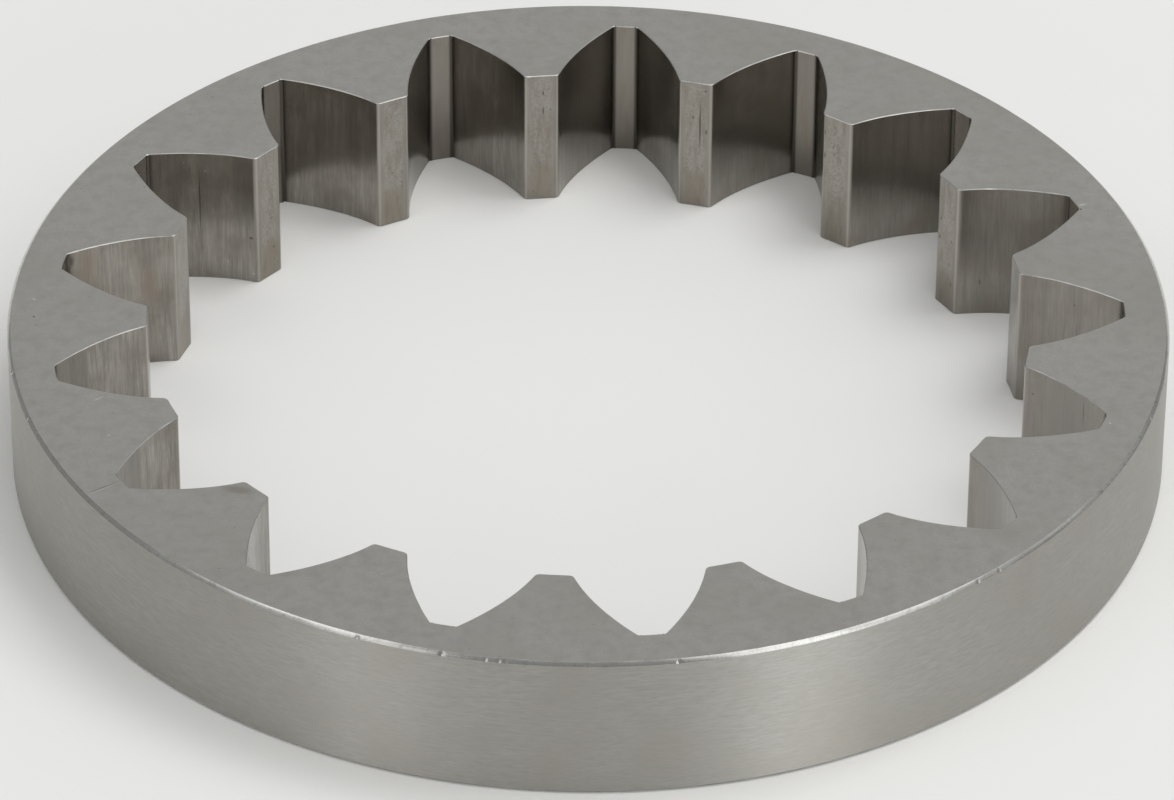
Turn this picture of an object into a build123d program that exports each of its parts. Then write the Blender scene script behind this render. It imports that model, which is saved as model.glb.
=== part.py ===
from build123d import *
import os
from math import acos, cos, pi, radians, sin, tan

# Ring gear of an internal-gear oil pump: a flat steel ring with straight involute teeth on its inside.
# Millimetres and degrees. The axis is Z, and the ring lies on its lower face at Z = 0.

# Driving dimensions
tooth_count = 17
module = 4.0
pressure_angle = 30.0
profile_shift_factor = 0.205     # in modules: how far the teeth are moved outwards
addendum_factor = 0.86           # in modules: from the shifted pitch line in to the tooth tips
dedendum_factor = 0.85           # in modules: from the shifted pitch line out to the tooth roots
rim_wall = 3.08                  # metal between the tooth roots and the outside
face_width = 11.0
rim_chamfer = 0.25               # edges of the outside, top and bottom
tip_corner_radius = 0.4          # upright corners of the tooth tips
root_corner_radius = 0.3         # upright corners of the tooth roots
tooth_edge_break = 0.05          # deburred edges of the teeth, top and bottom
first_space_angle = 1.51         # from +X to the middle of the first tooth space
flank_points = 7                 # points that each involute curve passes through

# Circles of the gear
pitch_radius = module * tooth_count / 2
base_radius = pitch_radius * cos(radians(pressure_angle))
tip_radius = pitch_radius + module * (profile_shift_factor - addendum_factor)
root_radius = pitch_radius + module * (profile_shift_factor + dedendum_factor)
outer_radius = root_radius + rim_wall

# A tooth space is drawn past the tip circle, so that its cut runs clear into the open middle
space_inner_radius = tip_radius - module / 4
flank_start_radius = max(base_radius, tip_radius - module / 8)


def involute(angle):
    return tan(angle) - angle


def half_space_angle(radius):
    """Angle, in radians, from the middle of a tooth space to its flank at this radius."""
    at_pitch = pi / (2 * tooth_count) + 2 * profile_shift_factor * tan(radians(pressure_angle)) / tooth_count
    return at_pitch + involute(radians(pressure_angle)) - involute(acos(base_radius / radius))


def polar_point(radius, angle):
    return (radius * cos(angle), radius * sin(angle))


def flank_point(step):
    radius = flank_start_radius + (root_radius - flank_start_radius) * step / (flank_points - 1)
    return polar_point(radius, half_space_angle(radius))


# One tooth space, about +X: two involute flanks, the root land, and straight sides into the open middle
with BuildSketch() as tooth_space:
    with BuildLine():
        flank = Spline(*[flank_point(step) for step in range(flank_points)])
        inner_side = Line(flank @ 0, polar_point(space_inner_radius, half_space_angle(flank_start_radius)))
        mirror(about=Plane.XZ)
        Line(inner_side @ 1, ((inner_side @ 1).X, -(inner_side @ 1).Y))
        ThreePointArc(flank @ 1, (root_radius, 0), ((flank @ 1).X, -(flank @ 1).Y))
    make_face()

# The ring, with its teeth left standing between the spaces
with BuildPart() as ring_gear:
    with BuildSketch():
        Circle(outer_radius)
        Circle(tip_radius, mode=Mode.SUBTRACT)
        with PolarLocations(0, tooth_count, start_angle=first_space_angle):
            add(tooth_space.sketch, mode=Mode.SUBTRACT)
    extrude(amount=face_width)

    # Upright edges by their distance from the axis: tooth tips, then tooth roots
    tip_corners, root_corners = ring_gear.edges().filter_by(Axis.Z).group_by(SortBy.DISTANCE)[:2]
    fillet(tip_corners, tip_corner_radius)
    fillet(root_corners, root_corner_radius)

    rim_edges = ring_gear.edges().filter_by(GeomType.CIRCLE).group_by(SortBy.RADIUS)[-1]
    chamfer(rim_edges, rim_chamfer)

    end_faces = ring_gear.faces().filter_by(GeomType.PLANE).sort_by(SortBy.AREA)[-2:]
    chamfer([edge for face in end_faces for edge in face.inner_wires()[0].edges()], tooth_edge_break)

os.makedirs("parts", exist_ok=True)
ring_gear.part.label = "ring_gear"
export_step(ring_gear.part, "parts/ring_gear.step")
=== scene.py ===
import random
from math import acos, atan2, cos, hypot, pi, radians, sin, tan

import bpy
from mathutils import Matrix, Vector, noise


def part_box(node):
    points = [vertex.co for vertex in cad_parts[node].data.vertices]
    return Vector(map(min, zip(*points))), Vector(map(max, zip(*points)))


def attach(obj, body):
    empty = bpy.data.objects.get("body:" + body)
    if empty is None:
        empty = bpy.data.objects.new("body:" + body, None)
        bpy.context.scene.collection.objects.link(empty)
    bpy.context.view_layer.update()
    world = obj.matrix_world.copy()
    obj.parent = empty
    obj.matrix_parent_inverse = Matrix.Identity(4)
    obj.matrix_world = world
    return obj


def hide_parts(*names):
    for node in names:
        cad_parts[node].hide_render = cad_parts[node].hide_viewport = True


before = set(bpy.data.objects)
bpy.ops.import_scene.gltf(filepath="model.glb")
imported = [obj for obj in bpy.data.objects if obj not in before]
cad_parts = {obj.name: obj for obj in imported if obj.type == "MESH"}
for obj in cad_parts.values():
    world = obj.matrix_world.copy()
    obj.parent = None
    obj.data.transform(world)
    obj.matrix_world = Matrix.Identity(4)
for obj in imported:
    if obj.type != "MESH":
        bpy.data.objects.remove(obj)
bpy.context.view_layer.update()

mm = 0.001
scene = bpy.context.scene
scene.view_settings.view_transform = "Standard"


# sRGB hex to the linear colour that shaders take
def hexColour(code):
    parts = [int(code[i:i + 2], 16) / 255 for i in (1, 3, 5)]
    return tuple(c / 12.92 if c <= 0.04045 else ((c + 0.055) / 1.055) ** 2.4 for c in parts) + (1.0,)


# adds one node, sets its properties and its unlinked sockets, and links the rest
def addNode(tree, kind, props=None, inputs=None):
    node = tree.nodes.new(kind)
    for name, value in (props or {}).items():
        setattr(node, name, value)
    for name, value in (inputs or {}).items():
        socket = node.inputs[name]
        if isinstance(value, bpy.types.NodeSocket):
            tree.links.new(value, socket)
        else:
            socket.default_value = value
    return node


def newMaterial(name):
    material = bpy.data.materials.new(name)
    material.use_nodes = True
    material.node_tree.nodes.clear()
    return material, material.node_tree


# ring gear, rebuilt finer than the CAD mesh, with the wear of its edges
ring = {
    "teeth": 17,
    "module": 4 * mm,
    "pressureAngle": radians(30),
    "profileShift": 0.205,        # in modules, outwards
    "addendum": 0.86,             # in modules
    "dedendum": 0.85,             # in modules
    "firstSpace": radians(1.51),  # from +X to the middle of the first tooth space
    "tipCorner": 0.4 * mm,
    "rootCorner": 0.3 * mm,
    "rimChamfer": 0.25 * mm,
    "rimChamferSteps": 4,
    "rimChamferShape": 0.28,      # 0.25 is flat and 0.5 is round
    "edgeBreak": 0.05 * mm,
    "rootLandSteps": 8,           # steps on half a tooth space's outline
    "rootCornerSteps": 5,
    "flankSteps": 60,
    "tipCornerSteps": 7,
    "tipLandSteps": 10,
    "smoothUnder": radians(22),
    "flatFrom": 0.98,             # upright part of a normal, from which a face is flat
    "uprightUnder": 0.02,         # and under which it stands upright
}
ringLow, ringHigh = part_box("ring_gear")
outerRadius = ringHigh.x
faceWidth = ringHigh.z - ringLow.z
pitchRadius = ring["module"] * ring["teeth"] / 2
baseRadius = pitchRadius * cos(ring["pressureAngle"])
tipRadius = pitchRadius + ring["module"] * (ring["profileShift"] - ring["addendum"])
rootRadius = pitchRadius + ring["module"] * (ring["profileShift"] + ring["dedendum"])
wallMiddle = (rootRadius + outerRadius) / 2
small = 1e-7                      # metres, well under any step of the mesh


def involute(angle):
    return tan(angle) - angle


# angle from the middle of a tooth space to its flank
def halfSpace(radius):
    atPitch = (pi / 2 + 2 * ring["profileShift"] * tan(ring["pressureAngle"])) / ring["teeth"]
    return atPitch + involute(ring["pressureAngle"]) - involute(acos(baseRadius / radius))


def polar(radius, angle):
    return Vector((radius * cos(angle), radius * sin(angle), 0))


# points of a round corner between two sides that leave it along the given directions
def roundCorner(corner, sideA, sideB, radius, steps):
    alongA, alongB = sideA.normalized(), sideB.normalized()
    half = alongA.angle(alongB) / 2
    start = corner + alongA * (radius / tan(half))
    centre = corner + (alongA + alongB).normalized() * (radius / sin(half))
    turn = pi - 2 * half
    way = 1 if (start - centre).cross(alongB).z > 0 else -1
    turns = [way * turn * i / steps for i in range(steps + 1)]
    return [centre + Matrix.Rotation(angle, 3, "Z") @ (start - centre) for angle in turns]


# the two round corners on half a tooth space: at its root, and at the tip of the next tooth
def toothCorners():
    # a short step along a flank gives its direction at its ends
    step = ring["module"] / 1000
    rootEnd = polar(rootRadius, halfSpace(rootRadius))
    tipEnd = polar(tipRadius, halfSpace(tipRadius))
    downRoot = polar(rootRadius - step, halfSpace(rootRadius - step)) - rootEnd
    upTip = polar(tipRadius + step, halfSpace(tipRadius + step)) - tipEnd
    alongRoot = Vector((rootEnd.y, -rootEnd.x, 0))
    alongTip = Vector((-tipEnd.y, tipEnd.x, 0))
    rootArc = roundCorner(rootEnd, alongRoot, downRoot, ring["rootCorner"], ring["rootCornerSteps"])
    tipArc = roundCorner(tipEnd, upTip, alongTip, ring["tipCorner"], ring["tipCornerSteps"])
    return rootArc, tipArc


# half the outline of one tooth space, from the middle of its root to just before the middle of the next tip
def halfOutline():
    rootArc, tipArc = toothCorners()
    points = []
    landAngle = atan2(rootArc[0].y, rootArc[0].x)
    for i in range(ring["rootLandSteps"]):
        points.append(polar(rootRadius, landAngle * i / ring["rootLandSteps"]))
    points += rootArc
    high, low = rootArc[-1].length, tipArc[0].length
    for i in range(1, ring["flankSteps"]):
        radius = high + (low - high) * i / ring["flankSteps"]
        points.append(polar(radius, halfSpace(radius)))
    points += tipArc
    landAngle = atan2(tipArc[-1].y, tipArc[-1].x)
    toMiddle = pi / ring["teeth"] - landAngle
    for i in range(1, ring["tipLandSteps"]):
        points.append(polar(tipRadius, landAngle + toMiddle * i / ring["tipLandSteps"]))
    return points


def toothOutline():
    half = halfOutline()
    tipMiddle = polar(tipRadius, pi / ring["teeth"])
    space = half + [tipMiddle]
    mirrored = [Vector((p.x, -p.y, 0)) for p in reversed(half[1:])]
    onePitch = space + [Matrix.Rotation(2 * pi / ring["teeth"], 3, "Z") @ p for p in mirrored]
    turns = [ring["firstSpace"] + 2 * pi * i / ring["teeth"] for i in range(ring["teeth"])]
    return [Matrix.Rotation(turn, 3, "Z") @ p for turn in turns for p in onePitch]


# selects only the edges that pass the test, in edge mode so that their neighbours stay out
def selectEdges(mesh, test):
    bpy.ops.object.mode_set(mode="OBJECT")
    bpy.context.tool_settings.mesh_select_mode = (False, True, False)
    for group in (mesh.vertices, mesh.edges, mesh.polygons):
        group.foreach_set("select", [False] * len(group))
    for edge in mesh.edges:
        a, b = (mesh.vertices[i].co for i in edge.vertices)
        edge.select = test(a, b)
    bpy.ops.object.mode_set(mode="EDIT")


def isFlat(a, b):
    return abs(a.z - b.z) < small


def onRim(point):
    return hypot(point.x, point.y) > outerRadius - small


def onTeeth(point):
    return hypot(point.x, point.y) < rootRadius + small


def buildRing():
    outline = toothOutline()
    count = len(outline)
    bpy.ops.object.select_all(action="DESELECT")
    bpy.ops.mesh.primitive_circle_add(vertices=count, radius=outerRadius, location=(0, 0, 0))
    gear = bpy.context.object
    gear.name = "ring"
    mesh = gear.data
    mesh.name = "ring"
    # the circle's copy becomes the tooth outline, and the flat strip between them is drawn up to the width
    bpy.ops.object.mode_set(mode="EDIT")
    bpy.ops.mesh.select_all(action="SELECT")
    bpy.ops.mesh.extrude_region_move()
    bpy.ops.object.mode_set(mode="OBJECT")
    for vertex in mesh.vertices:
        if vertex.select:
            turn = (atan2(vertex.co.y, vertex.co.x) - ring["firstSpace"]) % (2 * pi)
            vertex.co = outline[round(turn / (2 * pi) * count) % count]
        vertex.co.z = ringLow.z
    bpy.ops.object.mode_set(mode="EDIT")
    bpy.ops.mesh.select_all(action="SELECT")
    bpy.ops.mesh.extrude_region_move(TRANSFORM_OT_translate={"value": (0, 0, faceWidth)})
    bpy.ops.mesh.select_all(action="SELECT")
    bpy.ops.mesh.normals_make_consistent(inside=False)
    # chamfers of the outside, then the deburred edges of the teeth
    selectEdges(mesh, lambda a, b: isFlat(a, b) and onRim(a) and onRim(b))
    bpy.ops.mesh.bevel(offset=ring["rimChamfer"], segments=ring["rimChamferSteps"],
                       profile=ring["rimChamferShape"], affect="EDGES", clamp_overlap=False)
    selectEdges(mesh, lambda a, b: isFlat(a, b) and onTeeth(a) and onTeeth(b))
    bpy.ops.mesh.bevel(offset=ring["edgeBreak"], segments=1, affect="EDGES", clamp_overlap=False)
    bpy.ops.mesh.select_all(action="SELECT")
    bpy.ops.mesh.normals_make_consistent(inside=False)
    bpy.ops.object.mode_set(mode="OBJECT")
    print("ring:", len(mesh.vertices), "vertices", len(mesh.polygons), "faces")
    return gear


# wear of the edges: the deburring wanders a little, and small knocks have nicked the rim's chamfers
wear = {
    "rimWander": 0.012 * mm,
    "rimWave": 1.5 * mm,
    "toothWander": 0.015 * mm,
    "toothWave": 1.1 * mm,
    "otherWave": Vector((7, 3, 5)),         # from the sideways wander to the downward one, in its noise
    # nicks in the rim's upper edge that the photograph shows, in degrees from +X
    "nickTurns": (-30.58, -47.11, -49.84, -81.18, -89.73, -97.96, -99.23),
    "nickShape": (0.04 * mm, 0.15 * mm),    # depth, and half its length along the edge
    "nickFull": 0.5,                        # share of the chamfer over which a nick gets its full depth
    "otherNicks": 22,
    "otherDepth": (0.015 * mm, 0.045 * mm),
    "otherReach": (0.08 * mm, 0.22 * mm),
    "seed": 11,
}


def wearEdges(mesh):
    dice = random.Random(wear["seed"])
    up = Vector((0, 0, ringHigh.z))
    nicks = [(polar(outerRadius, radians(turn)) + up, *wear["nickShape"]) for turn in wear["nickTurns"]]
    for i in range(wear["otherNicks"]):
        place = polar(outerRadius, dice.uniform(-pi, pi))
        place.z = dice.choice((ringLow.z, ringHigh.z))
        nicks.append((place, dice.uniform(*wear["otherDepth"]), dice.uniform(*wear["otherReach"])))
    middle = (ringLow.z + ringHigh.z) / 2
    for vertex in mesh.vertices:
        point = vertex.co.copy()
        radius = hypot(point.x, point.y)
        inwards = -1 if point.z > middle else 1
        fromFace = min(point.z - ringLow.z, ringHigh.z - point.z)
        if radius > outerRadius - ring["rimChamfer"] - small:
            # 0 where the chamfer meets the rim, 1 where it meets the flat face
            across = (outerRadius - radius) / ring["rimChamfer"]
            wave = point / wear["rimWave"]
            sideways = wear["rimWander"] * noise.noise(wave) * across
            down = wear["rimWander"] * noise.noise(wave + wear["otherWave"]) * (1 - across)
            for place, depth, reach in nicks:
                if abs(place.z - point.z) < ring["rimChamfer"] + small:
                    along = hypot(place.x - point.x, place.y - point.y) / reach
                    if along < 1:
                        dent = depth * (1 - along * along)
                        sideways -= dent * min(1, across / wear["nickFull"])
                        down += dent * min(1, (1 - across) / wear["nickFull"])
            outward = Vector((point.x, point.y, 0)) / radius
            vertex.co = point + outward * sideways + Vector((0, 0, inwards * down))
        elif small < fromFace < 2 * ring["edgeBreak"]:
            vertex.co.z += inwards * wear["toothWander"] * noise.noise(point / wear["toothWave"])


# shares of wear for the teeth's finish, kept on the mesh
contact = {
    "cornerReach": 0.12 * mm,     # to each side of the middle of a tip's round corner, lighter there as a painted highlight and burnish
    "landFade": 0.3 * mm,         # from those corners into the tips' lands
    "nookFade": 0.13 * mm,        # past the round corners of the roots, which are darkened as painted shade and dirt
}


def markTeeth(mesh):
    rootArc, tipArc = toothCorners()
    ends = (rootArc[0], rootArc[-1], tipArc[0], tipArc[-1])
    nookStart, nookEnd, cornerStart, cornerEnd = [atan2(point.y, point.x) for point in ends]
    pitch = 2 * pi / ring["teeth"]
    shares = {"corner": [], "land": [], "nookShadeAndDirt": [], "driven": []}
    for vertex in mesh.vertices:
        turn = atan2(vertex.co.y, vertex.co.x) - ring["firstSpace"]
        fromSpace = (turn + pitch / 2) % pitch - pitch / 2
        fromCorner = tipRadius * (abs(fromSpace) - (cornerStart + cornerEnd) / 2)
        pastCorner = tipRadius * (abs(fromSpace) - cornerEnd)
        # lighter tip corners: a painted highlight, with burnish from rubbing
        shares["corner"].append(max(0, 1 - abs(fromCorner) / contact["cornerReach"]))
        shares["land"].append(min(1, max(0, pastCorner) / contact["landFade"]))
        # darker root corners: painted shade, with dirt that the corners hold
        fromNook = rootRadius * max(nookStart - abs(fromSpace), abs(fromSpace) - nookEnd)
        shares["nookShadeAndDirt"].append(max(0, 1 - max(0, fromNook) / contact["nookFade"]))
        # the pinion drives one flank of each space
        shares["driven"].append(1 if -cornerStart < fromSpace < -nookEnd else 0)
    for name, values in shares.items():
        mesh.attributes.new(name, "FLOAT", "POINT").data.foreach_set("value", values)


gear = buildRing()
wearEdges(gear.data)
markTeeth(gear.data)
bpy.ops.object.shade_smooth_by_angle(angle=ring["smoothUnder"])
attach(gear, "root")
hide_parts("ring_gear")


# spots of wear as a mask: each has its place, its turn about the axis in degrees, and its half sizes along,
# across and up, in millimetres; solid is the share of its reach that is full
def spotMask(tree, coords, spots, solid):
    mask = 0.0
    for place, turn, halfSizes in spots:
        local = addNode(tree, "ShaderNodeMapping", {"vector_type": "TEXTURE"},
                        {"Vector": coords, "Location": Vector(place) * mm, "Rotation": (0, 0, radians(turn)),
                         "Scale": Vector(halfSizes) * mm})
        reach = addNode(tree, "ShaderNodeVectorMath", {"operation": "LENGTH"}, {0: local.outputs[0]})
        spot = addNode(tree, "ShaderNodeMapRange", None,
                       {"Value": reach.outputs["Value"], "From Min": solid, "From Max": 1,
                        "To Min": 1, "To Max": 0})
        mask = addNode(tree, "ShaderNodeMath", {"operation": "MAXIMUM"},
                       {0: mask, 1: spot.outputs[0]}).outputs[0]
    return mask


# surface-ground and lapped tool steel: an even satin grey with a fine mottle, faint oil stains and scratches
faceSteel = {
    "colour": "#b3b2ad",
    "stainColour": "#a8a59e",
    "mottleColour": "#a3a19b",
    "grainColour": "#abaaa5",
    "speckColour": "#94918b",
    "smudgeColour": "#9b978f",
    "paleColour": "#d6d6d1",
    "darkColour": "#66645f",
    # size, then the detail, roughness and distortion of the noise, and the values between which it fades in;
    # the grain is drawn coarser than the real grit so that it shows
    "patterns": {
        "stain": (9 * mm, 4, 0.55, 0.5, (0.45, 0.75)),
        "mottle": (1.1 * mm, 3, 0.6, 0, (0.42, 0.72)),
        "grain": (0.2 * mm, 2, 0.6, 0, (0.35, 0.75)),
        "specks": (0.4 * mm, 3, 0.6, 0, (0.68, 0.78)),
    },
    "grainDepth": 0.0018 * mm,
    "roughness": (0.38, 0.46),
    "spotSolid": 0.35,
    "clouds": (((28.28, -25.8, 11), -42, (2.6, 1.6, 1)),),
    "smudges": (((-23.94, -21.85, 11), -13, (1.4, 0.6, 0.3)),),
    "pale": (
        ((-39.56, 1.12, 11), -42.6, (0.27, 0.06, 0.3)), ((-34.22, -11.11, 11), 38.5, (0.55, 0.05, 0.3)),
        ((-33.2, -15.51, 11), 0, (0.2, 0.06, 0.3)), ((-33.22, -21.81, 11), 34.4, (1.8, 0.045, 0.3)),
        ((36.46, -13.08, 11), 0, (0.1, 0.1, 0.3)), ((35.82, 14.38, 11), 22.6, (0.4, 0.1, 0.3)),
    ),
    "dark": (
        ((-39.42, -1.07, 11), 0, (0.12, 0.12, 0.3)), ((-33.26, -21.75, 11), 34.4, (1.8, 0.05, 0.3)),
        ((35.7, 13.8, 11), 0, (0.13, 0.13, 0.3)),
    ),
}


def lappedSteel():
    material, tree = newMaterial("lappedSteel")
    coords = addNode(tree, "ShaderNodeTexCoord").outputs["Object"]
    waves, shares = {}, {}
    for name, (size, detail, rough, bend, (low, high)) in faceSteel["patterns"].items():
        waves[name] = addNode(tree, "ShaderNodeTexNoise", None,
                              {"Vector": coords, "Scale": 1 / size, "Detail": detail, "Roughness": rough,
                               "Distortion": bend}).outputs["Fac"]
        shares[name] = addNode(tree, "ShaderNodeMapRange", None,
                               {"Value": waves[name], "From Min": low, "From Max": high}).outputs[0]
    for name in ("clouds", "smudges", "pale", "dark"):
        shares[name] = spotMask(tree, coords, faceSteel[name], faceSteel["spotSolid"])
    # sockets 6 and 7 are a Mix node's two colours, and output 2 is their mix
    tone = hexColour(faceSteel["colour"])
    for name, colour in (("stain", "stainColour"), ("clouds", "stainColour"), ("mottle", "mottleColour"),
                         ("grain", "grainColour"), ("specks", "speckColour"), ("smudges", "smudgeColour"),
                         ("pale", "paleColour"), ("dark", "darkColour")):
        tone = addNode(tree, "ShaderNodeMix", {"data_type": "RGBA"},
                       {0: shares[name], 6: tone, 7: hexColour(faceSteel[colour])}).outputs[2]
    least, most = faceSteel["roughness"]
    gloss = addNode(tree, "ShaderNodeMapRange", None,
                    {"Value": waves["grain"], "To Min": least, "To Max": most})
    relief = addNode(tree, "ShaderNodeBump", None,
                     {"Distance": faceSteel["grainDepth"], "Height": waves["grain"]})
    shader = addNode(tree, "ShaderNodeBsdfPrincipled", None,
                     {"Base Color": tone, "Metallic": 1.0, "Roughness": gloss.outputs[0],
                      "Normal": relief.outputs["Normal"]})
    addNode(tree, "ShaderNodeOutputMaterial", None, {"Surface": shader.outputs["BSDF"]})
    return material


# cylindrically ground tool steel: short flecks and fine lines run round the rim, and highlights stretch along
# the axis
rimSteel = {
    "colour": "#b8b7b2",
    "stainColour": "#b2ada5",
    "lineColour": "#b1b0aa",
    "fleckColour": "#acaba5",
    # length round the rim and width, then the detail and roughness of the noise, and the values between which
    # it fades in; flecks and lines are drawn coarser than the real scratches so that they show
    "patterns": {
        "stain": (6 * mm, 6 * mm, 3, 0.5, (0.42, 0.72)),
        "lines": (3 * mm, 0.28 * mm, 2, 0.6, (0.4, 0.72)),
        "flecks": (0.9 * mm, 0.1 * mm, 2, 0.6, (0.4, 0.72)),
    },
    "fleckDepth": 0.0008 * mm,
    "roughness": (0.4, 0.52),
    "anisotropy": 0.88,
    "acrossLines": 0.25,          # a quarter turn, so that highlights stretch across the lines
}


def groundRimSteel():
    material, tree = newMaterial("cylindricallyGroundSteel")
    coords = addNode(tree, "ShaderNodeTexCoord").outputs["Object"]
    waves, shares = {}, {}
    for name, (length, width, detail, rough, (low, high)) in rimSteel["patterns"].items():
        stretched = addNode(tree, "ShaderNodeMapping", None,
                            {"Vector": coords, "Scale": (1 / length, 1 / length, 1 / width)}).outputs[0]
        waves[name] = addNode(tree, "ShaderNodeTexNoise", None,
                              {"Vector": stretched, "Scale": 1, "Detail": detail,
                               "Roughness": rough}).outputs["Fac"]
        shares[name] = addNode(tree, "ShaderNodeMapRange", None,
                               {"Value": waves[name], "From Min": low, "From Max": high}).outputs[0]
    tone = hexColour(rimSteel["colour"])
    for name, colour in (("stain", "stainColour"), ("lines", "lineColour"), ("flecks", "fleckColour")):
        tone = addNode(tree, "ShaderNodeMix", {"data_type": "RGBA"},
                       {0: shares[name], 6: tone, 7: hexColour(rimSteel[colour])}).outputs[2]
    least, most = rimSteel["roughness"]
    gloss = addNode(tree, "ShaderNodeMapRange", None,
                    {"Value": waves["flecks"], "To Min": least, "To Max": most})
    relief = addNode(tree, "ShaderNodeBump", None,
                     {"Distance": rimSteel["fleckDepth"], "Height": waves["flecks"]})
    around = addNode(tree, "ShaderNodeTangent", {"direction_type": "RADIAL", "axis": "Z"}).outputs["Tangent"]
    shader = addNode(tree, "ShaderNodeBsdfPrincipled", None,
                     {"Base Color": tone, "Metallic": 1.0, "Roughness": gloss.outputs[0],
                      "Anisotropic": rimSteel["anisotropy"], "Anisotropic Rotation": rimSteel["acrossLines"],
                      "Tangent": around, "Normal": relief.outputs["Normal"]})
    addNode(tree, "ShaderNodeOutputMaterial", None, {"Surface": shader.outputs["BSDF"]})
    return material


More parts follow.
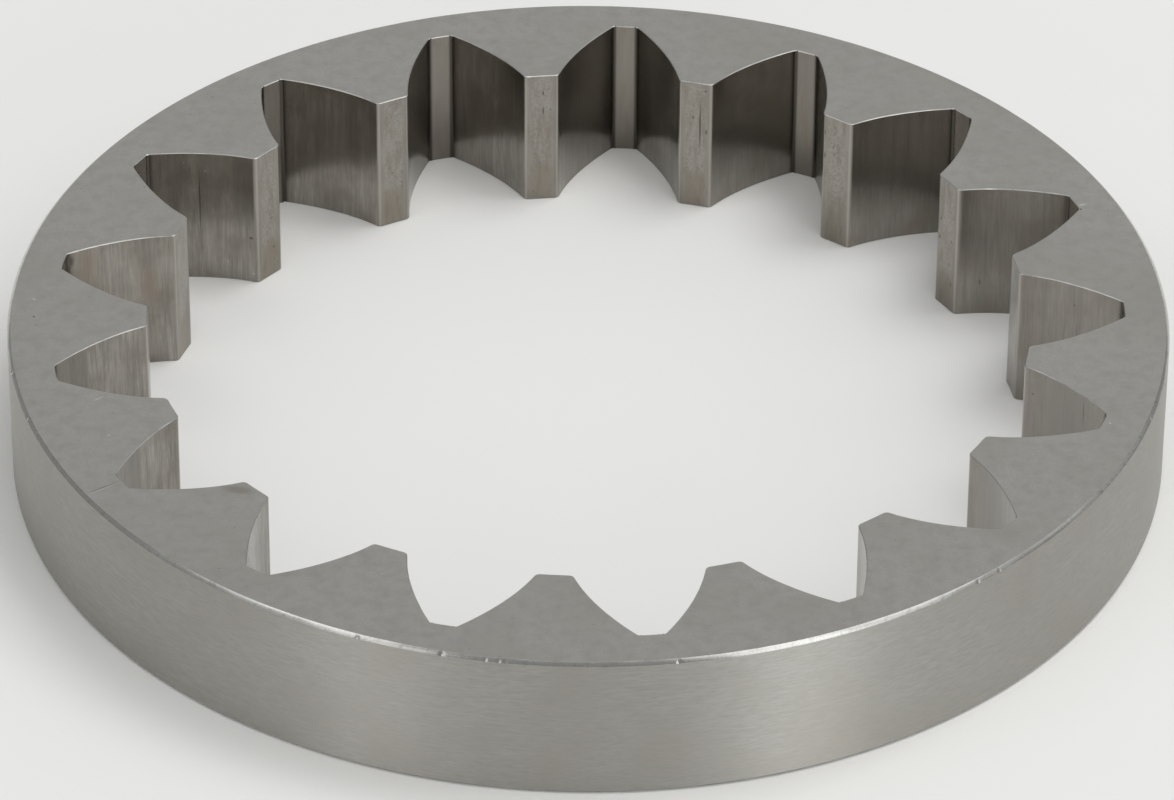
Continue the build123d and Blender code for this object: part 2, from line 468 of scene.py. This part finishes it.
# broached and hardened steel of the teeth: grey, with lines along the tool's stroke, a thin oil varnish,
# lighter round corners on the tips as a painted highlight with burnish, pitted brown lands on the tips,
# roots darkened as painted shade with oil, root corners darkened as painted shade with dirt,
# darker root ends on two flanks, and painted shade on the right-hand front flanks
toothSteel = {
    "colour": "#9d9992",
    "drivenColour": "#aca8a0",
    # darker root ends on two flanks, with a sharp edge
    "darkRootEndColour": "#85817a",
    "varnishColour": "#918a80",
    # painted shade on the right-hand front flanks
    "flankShadeColour": "#908d87",
    # painted shade with oil residue, darkening towards the root circle
    "rootShadeAndOilColour": "#8f8a82",
    "streakColour": "#898680",
    "scuffColour": "#777570",
    # painted shade, with dirt, in the roots' round corners
    "nookShadeAndDirtColour": "#524e48",
    "landColour": "#a09d96",
    "landLowColour": "#938d83",
    "tipStainColour": "#877f75",
    "brownColour": "#93887c",
    "pitColour": "#625d56",
    # painted highlight, with burnish, on the tips' round corners
    "cornerHighlightAndBurnishColour": "#adaaa3",
    "paleColour": "#bcbab3",
    # width and length along the stroke, then the detail and roughness of the noise; streaks and scuffs are
    # drawn coarser than the real tool marks so that they show
    "patterns": {
        "streaks": (0.12 * mm, 2.5 * mm, 3, 0.6),
        "bands": (0.6 * mm, 9 * mm, 3, 0.6),
        "scuffs": (0.1 * mm, 1.4 * mm, 3, 0.6),
        "scuffBands": (0.45 * mm, 7 * mm, 3, 0.6),
        "varnish": (2.5 * mm, 2.5 * mm, 4, 0.55),
        "mottle": (0.22 * mm, 0.22 * mm, 2, 0.6),
        "stain": (0.5 * mm, 2.2 * mm, 3, 0.6),
        "pits": (0.13 * mm, 0.4 * mm, 3, 0.6),
    },
    # the values between which each fades in, and its full share
    "fades": {
        "streaked": (0.15, 0.42, 1),
        "scuffed": (0.18, 0.4, 1),
        "varnish": (0.42, 0.7, 1),
        "mottle": (0.35, 0.6, 1),
        "stain": (0.45, 0.7, 0.75),
        "pits": (0.64, 0.72, 1),
    },
    "scuffFrom": (8 * mm, -6 * mm),      # places along Y with the least and the most scuffs on driven flanks
    "scuffShare": (0.45, 0.85),
    "landLow": (3.4 * mm, 2.6 * mm),     # below this height the lands are smooth and darker
    "rootReach": (0.55 * mm, 0.2 * mm),  # from the root circle, where the roots' painted shade with oil starts and is full
    "streakDepth": 0.001 * mm,
    "roughness": (0.18, 0.27),
    # share of its reach that is full, for the spots in each of the lists that follow
    "solid": {"dark": 0.35, "pale": 0.35, "darkRootEnds": 0.92, "flankShade": 0.35, "brown": 0},
    "dark": (
        ((-28.8, 20.25, 6.8), 0, (0.06, 0.06, 3.5)), ((-25.05, 19.7, 3.9), 0, (0.2, 0.2, 0.14)),
        ((28.74, 16.36, 2.8), 0, (0.06, 0.06, 0.38)), ((34.86, 3.97, 9.26), 15, (0.22, 0.12, 0.05)),
        ((31.44, -6.64, 8.91), 0, (0.1, 0.1, 0.1)), ((-37.4, 7.03, 10.23), 0, (0.4, 0.4, 0.6)),
        ((25.8, 17.86, 7.42), 0, (0.1, 0.1, 0.18)), ((26.66, 16.56, 8.18), 0, (0.08, 0.08, 0.15)),
        ((25.75, 17.92, 5.77), 0, (0.1, 0.1, 0.3)), ((26.54, 16.74, 6.05), 0, (0.08, 0.08, 0.2)),
        ((26.61, 16.63, 2.32), 0, (0.08, 0.08, 0.25)), ((8.53, 30.2, 10.36), 0, (0.12, 0.12, 0.12)),
        ((8.15, 30.3, 7.2), 0, (0.1, 0.1, 2.6)), ((7.63, 30.44, 7.9), 0, (0.08, 0.08, 0.2)),
        ((8.62, 30.17, 6.75), 0, (0.08, 0.08, 0.3)), ((17.38, 26.12, 9.48), 0, (0.08, 0.08, 0.3)),
        ((17.42, 26.1, 7.49), 0, (0.08, 0.08, 0.35)), ((-3.6, 31.17, 9.48), 0, (0.08, 0.08, 0.3)),
        ((-3.6, 31.17, 7.88), 0, (0.07, 0.07, 0.4)), ((-23.46, 20.85, 2.43), 0, (0.1, 0.1, 0.15)),
        ((32.1, -7.04, 8.5), 0, (0.06, 0.06, 2.6)), ((33.13, -8.14, 8.6), 0, (0.05, 0.05, 1.6)),
        ((34.8, -9.91, 9.6), 0, (0.05, 0.05, 1.4)),
    ),
    "pale": (
        ((12.3, 33.21, 4.89), 0, (0.1, 0.1, 0.1)), ((-28.32, 20.23, 9.46), 0, (0.09, 0.09, 0.09)),
        ((-29.44, 20.26, 5.68), 0, (0.08, 0.08, 0.08)), ((-29.91, 20.26, 10.17), 0, (0.08, 0.08, 0.1)),
        ((-26.83, 20.08, 1.56), 0, (0.09, 0.09, 0.07)), ((-24.93, 19.67, 0.74), 0, (0.1, 0.1, 0.08)),
    ),
    # darker root ends of two left flanks, with a sharp edge
    "darkRootEnds": (
        ((-36.7, -6.14, 5.5), 44.3, (1.92, 0.9, 60)), ((-32.15, -19.37, 5.5), 65.9, (2.95, 1, 60)),
    ),
    # painted shade: patches that darken the right-hand front flanks
    "flankShade": (
        ((33.9, -8.8, 5.5), -42, (4, 1.2, 60)), ((28.6, -19.6, 5.5), -63, (4, 1.2, 60)),
    ),
    "brown": (
        ((-36.2, 7.65, 9.6), -27, (2, 1, 2.4)), ((-23.6, 20.75, 2), 0, (0.5, 0.5, 1.6)),
        ((-31.85, 9.12, 6.85), -14, (0.9, 0.7, 2.6)),
    ),
}


def broachedSteel():
    material, tree = newMaterial("broachedSteel")
    coords = addNode(tree, "ShaderNodeTexCoord").outputs["Object"]
    waves, shares = {}, {}
    for name, (width, length, detail, rough) in toothSteel["patterns"].items():
        stretched = addNode(tree, "ShaderNodeMapping", None,
                            {"Vector": coords, "Scale": (1 / width, 1 / width, 1 / length)}).outputs[0]
        waves[name] = addNode(tree, "ShaderNodeTexNoise", None,
                              {"Vector": stretched, "Scale": 1, "Detail": detail,
                               "Roughness": rough}).outputs["Fac"]
    # streaks and scuffs gather in bands
    for name, mark, band in (("streaked", "streaks", "bands"), ("scuffed", "scuffs", "scuffBands")):
        waves[name] = addNode(tree, "ShaderNodeMath", {"operation": "MULTIPLY"},
                              {0: waves[mark], 1: waves[band]}).outputs[0]
    for name, (low, high, full) in toothSteel["fades"].items():
        shares[name] = addNode(tree, "ShaderNodeMapRange", None,
                               {"Value": waves[name], "From Min": low, "From Max": high,
                                "To Max": full}).outputs[0]
    for name in ("corner", "land", "nookShadeAndDirt", "driven"):
        shares[name] = addNode(tree, "ShaderNodeAttribute", {"attribute_name": name}).outputs["Fac"]
    for name, solid in toothSteel["solid"].items():
        shares[name] = spotMask(tree, coords, toothSteel[name], solid)
    # shares that go by place: height, place along Y, and distance from the axis
    place = addNode(tree, "ShaderNodeSeparateXYZ", None, {"Vector": coords}).outputs
    flat = addNode(tree, "ShaderNodeMapping", None, {"Vector": coords, "Scale": (1, 1, 0)})
    radius = addNode(tree, "ShaderNodeVectorMath", {"operation": "LENGTH"},
                     {0: flat.outputs[0]}).outputs["Value"]
    rootStart, rootFull = [rootRadius - reach for reach in toothSteel["rootReach"]]
    # the root share darkens towards the root circle as painted shade with oil
    for name, value, (start, end), (least, most) in (
            ("low", place["Z"], toothSteel["landLow"], (0, 1)),
            ("near", place["Y"], toothSteel["scuffFrom"], toothSteel["scuffShare"]),
            ("root", radius, (rootStart, rootFull), (0, 1))):
        shares[name] = addNode(tree, "ShaderNodeMapRange", None,
                               {"Value": value, "From Min": start, "From Max": end,
                                "To Min": least, "To Max": most}).outputs[0]
    for name, one, other in (("landGrey", "land", "mottle"), ("landLow", "land", "low"),
                             ("tipStain", "land", "stain"), ("tipPits", "land", "pits"),
                             ("rootStain", "root", "stain"), ("nearScuffs", "near", "scuffed"),
                             ("drivenScuffs", "driven", "nearScuffs")):
        shares[name] = addNode(tree, "ShaderNodeMath", {"operation": "MULTIPLY"},
                               {0: shares[one], 1: shares[other]}).outputs[0]
    # among these tones, the roots' and the root corners' darkening and the right-hand flanks' patches are
    # painted shade, and the tips' lighter corners a painted highlight
    tone = hexColour(toothSteel["colour"])
    for name, colour in (("driven", "drivenColour"), ("darkRootEnds", "darkRootEndColour"), ("varnish", "varnishColour"),
                         ("flankShade", "flankShadeColour"), ("root", "rootShadeAndOilColour"), ("streaked", "streakColour"),
                         ("drivenScuffs", "scuffColour"), ("rootStain", "tipStainColour"),
                         ("nookShadeAndDirt", "nookShadeAndDirtColour"), ("landGrey", "landColour"), ("landLow", "landLowColour"),
                         ("tipStain", "tipStainColour"), ("brown", "brownColour"), ("tipPits", "pitColour"),
                         ("dark", "pitColour"), ("corner", "cornerHighlightAndBurnishColour"), ("pale", "paleColour")):
        tone = addNode(tree, "ShaderNodeMix", {"data_type": "RGBA"},
                       {0: shares[name], 6: tone, 7: hexColour(toothSteel[colour])}).outputs[2]
    least, most = toothSteel["roughness"]
    gloss = addNode(tree, "ShaderNodeMapRange", None,
                    {"Value": waves["streaks"], "To Min": least, "To Max": most})
    relief = addNode(tree, "ShaderNodeBump", None,
                     {"Distance": toothSteel["streakDepth"], "Height": waves["streaks"]})
    shader = addNode(tree, "ShaderNodeBsdfPrincipled", None,
                     {"Base Color": tone, "Metallic": 1.0, "Roughness": gloss.outputs[0],
                      "Normal": relief.outputs["Normal"]})
    addNode(tree, "ShaderNodeOutputMaterial", None, {"Surface": shader.outputs["BSDF"]})
    return material


# edges dressed with a stone: bright bare steel, glossier than the faces, with small bruises
edgeSteel = {
    "colour": "#c6c6c2",
    "bruiseColour": "#b0aea8",
    "bruise": (0.4 * mm, 3, 0.6), # size, then the detail and roughness of the noise
    "bruiseFrom": (0.5, 0.75),
    "bruiseDepth": 0.0025 * mm,
    "roughness": (0.16, 0.24),
    "toothRougher": 0.14,         # the teeth's edges were only brushed
}


def stonedEdgeSteel():
    material, tree = newMaterial("stonedEdgeSteel")
    coords = addNode(tree, "ShaderNodeTexCoord").outputs["Object"]
    size, detail, rough = edgeSteel["bruise"]
    bruise = addNode(tree, "ShaderNodeTexNoise", None,
                     {"Vector": coords, "Scale": 1 / size, "Detail": detail,
                      "Roughness": rough}).outputs["Fac"]
    low, high = edgeSteel["bruiseFrom"]
    bruised = addNode(tree, "ShaderNodeMapRange", None, {"Value": bruise, "From Min": low, "From Max": high})
    tone = addNode(tree, "ShaderNodeMix", {"data_type": "RGBA"},
                   {0: bruised.outputs[0], 6: hexColour(edgeSteel["colour"]),
                    7: hexColour(edgeSteel["bruiseColour"])}).outputs[2]
    least, most = edgeSteel["roughness"]
    gloss = addNode(tree, "ShaderNodeMapRange", None, {"Value": bruise, "To Min": least, "To Max": most})
    flat = addNode(tree, "ShaderNodeMapping", None, {"Vector": coords, "Scale": (1, 1, 0)})
    radius = addNode(tree, "ShaderNodeVectorMath", {"operation": "LENGTH"},
                     {0: flat.outputs[0]}).outputs["Value"]
    rougher = addNode(tree, "ShaderNodeMapRange", None,
                      {"Value": radius, "From Min": wallMiddle, "From Max": rootRadius,
                       "To Max": edgeSteel["toothRougher"]})
    gloss = addNode(tree, "ShaderNodeMath", None, {0: gloss.outputs[0], 1: rougher.outputs[0]})
    relief = addNode(tree, "ShaderNodeBump", None, {"Distance": edgeSteel["bruiseDepth"], "Height": bruise})
    shader = addNode(tree, "ShaderNodeBsdfPrincipled", None,
                     {"Base Color": tone, "Metallic": 1.0, "Roughness": gloss.outputs[0],
                      "Normal": relief.outputs["Normal"]})
    addNode(tree, "ShaderNodeOutputMaterial", None, {"Surface": shader.outputs["BSDF"]})
    return material


# flat faces, then the rim, the teeth and the edges
def finishRing(gear):
    for material in (lappedSteel(), groundRimSteel(), broachedSteel(), stonedEdgeSteel()):
        gear.data.materials.append(material)
    for face in gear.data.polygons:
        if abs(face.normal.z) > ring["flatFrom"]:
            face.material_index = 0
        elif abs(face.normal.z) < ring["uprightUnder"]:
            face.material_index = 1 if hypot(face.center.x, face.center.y) > wallMiddle else 2
        else:
            face.material_index = 3
    print("finishes:", [material.name for material in gear.data.materials])


finishRing(gear)


# studio: a pale floor and soft boxes
studio = {
    "floorSize": 6.0,
    "floorColour": "#f0f0ee",
    "floorRoughness": 0.9,
    "worldColour": "#ffffff",
    "worldStrength": 0.3,
    # turn from the camera's side towards +X and height above the floor in degrees, then distance, width and
    # height in metres, and the light's power in watts
    "boxes": {
        "boxRightNear": (42, 42, 1.6, 0.5, 0.4, 0.92),
        "boxRightNearHigh": (42, 57, 1.6, 0.5, 0.4, 0.72),
        "boxRightMiddle": (61, 38, 1.6, 0.5, 0.4, 0.51),
        "boxRightMiddleHigh": (61, 53, 1.6, 0.5, 0.4, 0.44),
        "boxRightFar": (82, 33, 1.6, 0.5, 0.4, 0.13),
        "boxRightFarHigh": (82, 48, 1.6, 0.5, 0.4, 0.60),
        "boxRightBack": (112, 42, 1.6, 0.8, 0.8, 0.63),
        "boxRightBackLow": (112, 22, 1.6, 0.8, 0.6, 0.2),
        "boxRightLow": (38, 14, 1.6, 0.5, 0.6, 4.22),
        "boxRightTop": (110, 68, 1.6, 0.75, 0.75, 7.01),
        "boxLeftNear": (-42, 42, 1.6, 0.5, 0.4, 0.49),
        "boxLeftNearHigh": (-42, 57, 1.6, 0.5, 0.4, 0.11),
        "boxLeftMiddle": (-61, 38, 1.6, 0.5, 0.4, 0.17),
        "boxLeftMiddleHigh": (-61, 53, 1.6, 0.5, 0.4, 0.71),
        "boxLeftFar": (-82, 33, 1.6, 0.5, 0.4, 0.04),
        "boxLeftFarHigh": (-82, 48, 1.6, 0.5, 0.4, 0.40),
        "boxLeftLow": (-38, 14, 1.6, 0.5, 0.6, 2.09),
        "boxTop": (0, 90, 1.6, 0.8, 0.8, 0.16),
        "boxTopFront": (0, 76, 1.6, 0.5, 0.4, 2.89),
        "boxBackHigh": (180, 70, 1.7, 1.6, 0.6, 1.32),
        "boxBackLow": (180, 28, 1.7, 2.6, 0.6, 2.66),
    },
}


def buildStudio():
    bpy.ops.object.select_all(action="DESELECT")
    bpy.ops.mesh.primitive_plane_add(size=studio["floorSize"], location=(0, 0, ringLow.z))
    floor = bpy.context.object
    floor.name = "floor"
    material, tree = newMaterial("paleFloor")
    shader = addNode(tree, "ShaderNodeBsdfPrincipled", None,
                     {"Base Color": hexColour(studio["floorColour"]), "Roughness": studio["floorRoughness"],
                      "Specular IOR Level": 0.0})
    addNode(tree, "ShaderNodeOutputMaterial", None, {"Surface": shader.outputs["BSDF"]})
    floor.data.materials.append(material)
    world = bpy.data.worlds.new("studio")
    scene.world = world
    world.use_nodes = True
    world.node_tree.nodes.clear()
    sky = addNode(world.node_tree, "ShaderNodeBackground", None,
                  {"Color": hexColour(studio["worldColour"]), "Strength": studio["worldStrength"]})
    addNode(world.node_tree, "ShaderNodeOutputWorld", None, {"Surface": sky.outputs["Background"]})
    for name, (turn, height, distance, width, tall, power) in studio["boxes"].items():
        light = bpy.data.lights.new(name, "AREA")
        light.shape = "RECTANGLE"
        light.size, light.size_y = width, tall
        light.energy = power
        lamp = bpy.data.objects.new(name, light)
        scene.collection.objects.link(lamp)
        around, above = radians(turn), radians(height)
        away = Vector((sin(around) * cos(above), -cos(around) * cos(above), sin(above)))
        lamp.location = away * distance
        lamp.rotation_euler = away.to_track_quat("Z", "Y").to_euler()
        lamp.visible_camera = False
    print("studio:", len(studio["boxes"]), "soft boxes")


buildStudio()

# camera, from a fit to the outlines in the photograph: angles, and distances in outer radii
view = {
    "elevation": 0.61609,      # radians above the floor
    "roll": 0.00819,
    "distance": 12.56062,
    "aside": 0.03606,
    "above": -0.17761,
    "focalPixels": 7287.72,
    "axisPixel": (609.472, 415.742),
    "imageSize": (1174, 800),
    "sensorWidth": 36.0,
    "clip": (0.05, 20),        # metres
}


def buildCamera():
    tilt, roll = view["elevation"], view["roll"]
    back = Vector((0, -cos(tilt), sin(tilt)))
    level, raised = Vector((1, 0, 0)), Vector((0, sin(tilt), cos(tilt)))
    right = cos(roll) * level + sin(roll) * raised
    up = cos(roll) * raised - sin(roll) * level
    data = bpy.data.cameras.new("camera")
    camera = bpy.data.objects.new("camera", data)
    scene.collection.objects.link(camera)
    centre = Vector((0, 0, ringHigh.z))
    place = centre + outerRadius * (view["aside"] * right + view["above"] * up + view["distance"] * back)
    turn = Matrix((right, up, back)).transposed().to_4x4()
    camera.matrix_world = Matrix.Translation(place) @ turn
    width, height = view["imageSize"]
    data.sensor_fit = "HORIZONTAL"
    data.sensor_width = view["sensorWidth"]
    data.lens = view["focalPixels"] / width * view["sensorWidth"]
    data.shift_x = (width / 2 - view["axisPixel"][0]) / width
    data.shift_y = (view["axisPixel"][1] - height / 2) / width
    data.clip_start, data.clip_end = view["clip"]
    scene.camera = camera


buildCamera()
